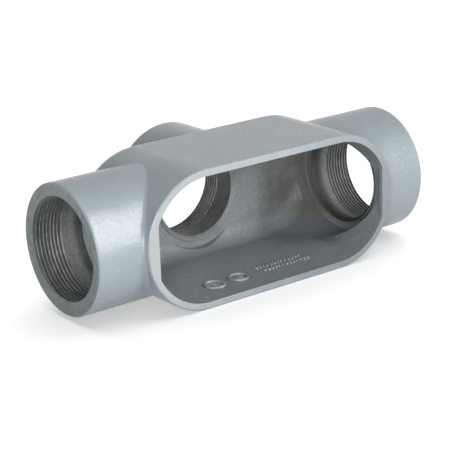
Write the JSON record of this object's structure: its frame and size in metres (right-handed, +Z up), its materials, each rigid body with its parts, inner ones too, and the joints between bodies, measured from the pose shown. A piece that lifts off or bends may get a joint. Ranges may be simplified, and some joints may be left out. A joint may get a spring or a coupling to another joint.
{
  "type": "conduit body",
  "caption": "Grey enamelled cast conduit body with threaded hubs at both ends and on its back, and a round-ended open front for a cover.",
  "frame": {"origin": "centre of the bounding box's bottom face, on the surface that the flat side lies on", "axes": "+X along the run from hub to hub, +Y out of the branch hub, -Y out of the cover opening, +Z up from the flat side that the casting lies on"},
  "size_m": [0.228, 0.1036, 0.0782],
  "materials": {
    "enamelled_casting": "satin grey enamel over a fine cast texture"
  },
  "bodies": {
    "root": {"conduit_body": "enamelled_casting"}
  },
  "joints": []
}
